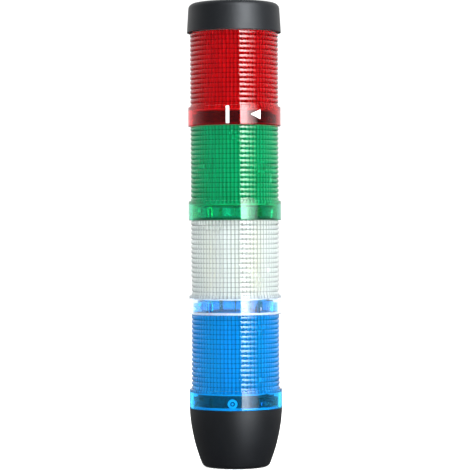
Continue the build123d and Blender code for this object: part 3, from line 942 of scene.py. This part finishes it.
def add_surround(scene, settings):
    """A white studio, brighter to the left, which gloss mirrors dimmer before and below the tower."""
    world = bpy.data.worlds.new("white studio")
    world.use_nodes = True
    scene.world = world
    tree = world.node_tree
    place = tree.nodes.new("ShaderNodeTexCoord")
    parts = tree.nodes.new("ShaderNodeSeparateXYZ")
    tree.links.new(place.outputs["Generated"], parts.inputs["Vector"])
    white = tree.nodes.new("ShaderNodeBackground")
    left = settings.surround * (1 + settings.surround_lean)
    right = settings.surround * (1 - settings.surround_lean)
    lean = add_range(tree, parts.outputs["X"], left, right, start=-1, end=1, smooth=True)
    tree.links.new(lean, white.inputs["Strength"])
    mirrored = tree.nodes["Background"]
    mirrored.inputs["Color"].default_value = (1, 1, 1, 1)
    front, back = settings.mirrored_front, settings.mirrored_back
    depth = add_range(tree, parts.outputs["Y"], front, back, *FRONT_TO_BACK, smooth=True)
    above = add_range(tree, parts.outputs["Z"], settings.mirrored_below, 1, *BELOW_TO_LEVEL, smooth=True)
    both = tree.nodes.new("ShaderNodeMath")
    both.operation = "MULTIPLY"
    tree.links.new(depth, both.inputs[0])
    tree.links.new(above, both.inputs[1])
    tree.links.new(both.outputs["Value"], mirrored.inputs["Strength"])
    choose = tree.nodes.new("ShaderNodeMixShader")
    tree.links.new(mirrored_rays(tree), choose.inputs["Fac"])
    tree.links.new(white.outputs["Background"], choose.inputs[1])
    tree.links.new(mirrored.outputs["Background"], choose.inputs[2])
    tree.links.new(choose.outputs["Shader"], tree.nodes["World Output"].inputs["Surface"])


# Operators


class STACKLIGHT_OT_lenses(bpy.types.Operator):
    """Mould the four ribbed lenses over their solids"""

    bl_idname = "stacklight.lenses"
    bl_label = "Mould Lenses"

    def execute(self, context):
        settings = context.scene.stack_light_lens
        for tier in TIERS:
            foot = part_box(f"{tier}_lens")[0].z - RUNNING_GAP
            lens = build_lens(f"{tier}_lens_moulding", settings, foot)
            for material in lens_materials(tier, settings):
                lens.data.materials.append(material)
            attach(lens, f"{tier}_module")
            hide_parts(f"{tier}_lens")
        return {"FINISHED"}


class STACKLIGHT_OT_housings(bpy.types.Operator):
    """Finish the cap, the base and what is in the base"""

    bl_idname = "stacklight.housings"
    bl_label = "Finish Housings"

    def execute(self, context):
        settings = context.scene.stack_light_finish
        black = textured_plastic(
            "black housing plastic",
            settings.black_plastic,
            settings.black_roughness,
            gloss=(0.90, 0.95, 1.0),
        )
        grey = textured_plastic("grey block plastic", settings.grey_plastic, 0.45)
        rubber = textured_plastic("black grommet rubber", settings.black_plastic, 0.7)
        steel = plated_metal("plated steel", settings.steel, 0.3)
        brass = plated_metal("clamp brass", settings.brass, 0.35)
        silicone = seal_rubber("base seal silicone", settings.seal)
        dress_nodes(black, "base_housing", "cap")
        dress_nodes(grey, "base_contact_plate", "terminal_block")
        dress_nodes(rubber, "cable_grommet")
        dress_nodes(steel, "terminal_screws", "block_screws")
        dress_nodes(brass, "terminal_clamps", "base_contact_pins")
        dress_nodes(silicone, "base_seal")
        return {"FINISHED"}


class STACKLIGHT_OT_columns(bpy.types.Operator):
    """Finish the LED column, the contacts and the seal of each tier"""

    bl_idname = "stacklight.columns"
    bl_label = "Finish LED Columns"

    def execute(self, context):
        settings = context.scene.stack_light_finish
        white = textured_plastic("white carrier plastic", settings.white_plastic, 0.4)
        board = circuit_board("white circuit board", settings.board)
        brass = plated_metal("contact brass", settings.brass, 0.25)
        pale_seal = seal_rubber("pale seal silicone", settings.seal)
        dark_seal = seal_rubber("dark seal rubber", settings.dark_seal)
        resin = cast_resin("LED resin", settings.phosphor)
        for tier in TIERS:
            dress_nodes(white, f"{tier}_led_carrier", f"{tier}_contact_plate")
            dress_nodes(board, *[f"{tier}_led_board_{number}" for number in (1, 2, 3)])
            dress_nodes(brass, f"{tier}_contact_tracks", f"{tier}_contact_pins")
            # Pale seals where the blue and clear collars show them; the others darkened as painted shade in
            # the gaps
            dress_nodes(pale_seal if tier == "blue" else dark_seal, f"{tier}_seal")
            dress_nodes(resin, f"{tier}_leds")
        return {"FINISHED"}


class STACKLIGHT_OT_marks(bpy.types.Operator):
    """Print the line and the arrow head on the red collar, and a ring on the base's spigot"""

    bl_idname = "stacklight.marks"
    bl_label = "Print Marks"

    def execute(self, context):
        ink = printed_ink("white print", context.scene.stack_light_finish.print_white)
        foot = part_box("red_lens")[0].z - RUNNING_GAP
        half_line = degrees(LINE_HALF_WIDTH / COLLAR_RADIUS)
        line_columns = [
            (LINE_ANGLE + half_line * side, foot + LINE_LOW, foot + LINE_HIGH)
            for side in (-1, -0.5, 0, 0.5, 1)
        ]
        line = wrapped_columns("red_collar_line", COLLAR_RADIUS, PRINT_FILM, line_columns)
        place_piece(line, "red_module", ink)
        arrow = wrapped_columns("red_collar_arrow_head", COLLAR_RADIUS, PRINT_FILM, arrow_columns(foot))
        place_piece(arrow, "red_module", ink)
        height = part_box("blue_lens")[0].z - RUNNING_GAP + RING_HEIGHT
        for name, inner, outer, segments in (
            ("base_spigot_ring", RING_INNER, RING_OUTER, RING_SEGMENTS),
            ("base_spigot_dot", PRINT_POINT, DOT_RADIUS, DOT_SEGMENTS),
        ):
            mark = wrapped_ring(name, SPIGOT_RADIUS, PRINT_FILM, RING_ANGLE, height, inner, outer, segments)
            place_piece(mark, "base", ink)
        return {"FINISHED"}


class STACKLIGHT_OT_studio(bpy.types.Operator):
    """Set up the camera, the lights, the white floor and the surround"""

    bl_idname = "stacklight.studio"
    bl_label = "Set Up Studio"

    def execute(self, context):
        settings = context.scene.stack_light_studio
        scene = context.scene
        add_camera(scene, settings)
        add_softbox(scene, settings)
        add_floor(scene)
        add_surround(scene, settings)
        scene.view_settings.view_transform = "Standard"
        return {"FINISHED"}


# Panel and registration


class STACKLIGHT_PT_panel(bpy.types.Panel):
    """Lists the steps that dress the stack light"""

    bl_label = "Stack Light"
    bl_idname = "STACKLIGHT_PT_panel"
    bl_space_type = "VIEW_3D"
    bl_region_type = "UI"
    bl_category = "Stack Light"

    def draw(self, context):
        layout = self.layout
        for operator in OPERATORS:
            layout.operator(operator.bl_idname)
        for group in ("stack_light_lens", "stack_light_finish", "stack_light_studio"):
            settings = getattr(context.scene, group)
            box = layout.box()
            for name in settings.__annotations__:
                box.prop(settings, name)


OPERATORS = (
    STACKLIGHT_OT_studio,
    STACKLIGHT_OT_housings,
    STACKLIGHT_OT_columns,
    STACKLIGHT_OT_lenses,
    STACKLIGHT_OT_marks,
)
SETTINGS = (StackLightLensSettings, StackLightFinishSettings, StackLightStudioSettings)


def register():
    for group in SETTINGS:
        bpy.utils.register_class(group)
    for operator in OPERATORS:
        bpy.utils.register_class(operator)
    bpy.utils.register_class(STACKLIGHT_PT_panel)
    bpy.types.Scene.stack_light_lens = bpy.props.PointerProperty(type=StackLightLensSettings)
    bpy.types.Scene.stack_light_finish = bpy.props.PointerProperty(type=StackLightFinishSettings)
    bpy.types.Scene.stack_light_studio = bpy.props.PointerProperty(type=StackLightStudioSettings)


def unregister():
    del bpy.types.Scene.stack_light_studio
    del bpy.types.Scene.stack_light_finish
    del bpy.types.Scene.stack_light_lens
    bpy.utils.unregister_class(STACKLIGHT_PT_panel)
    for operator in reversed(OPERATORS):
        bpy.utils.unregister_class(operator)
    for group in reversed(SETTINGS):
        bpy.utils.unregister_class(group)


def main():
    """Run every step in order."""
    register()
    bpy.ops.stacklight.studio()
    bpy.ops.stacklight.housings()
    bpy.ops.stacklight.columns()
    bpy.ops.stacklight.lenses()
    bpy.ops.stacklight.marks()


if __name__ == "__main__":
    main()
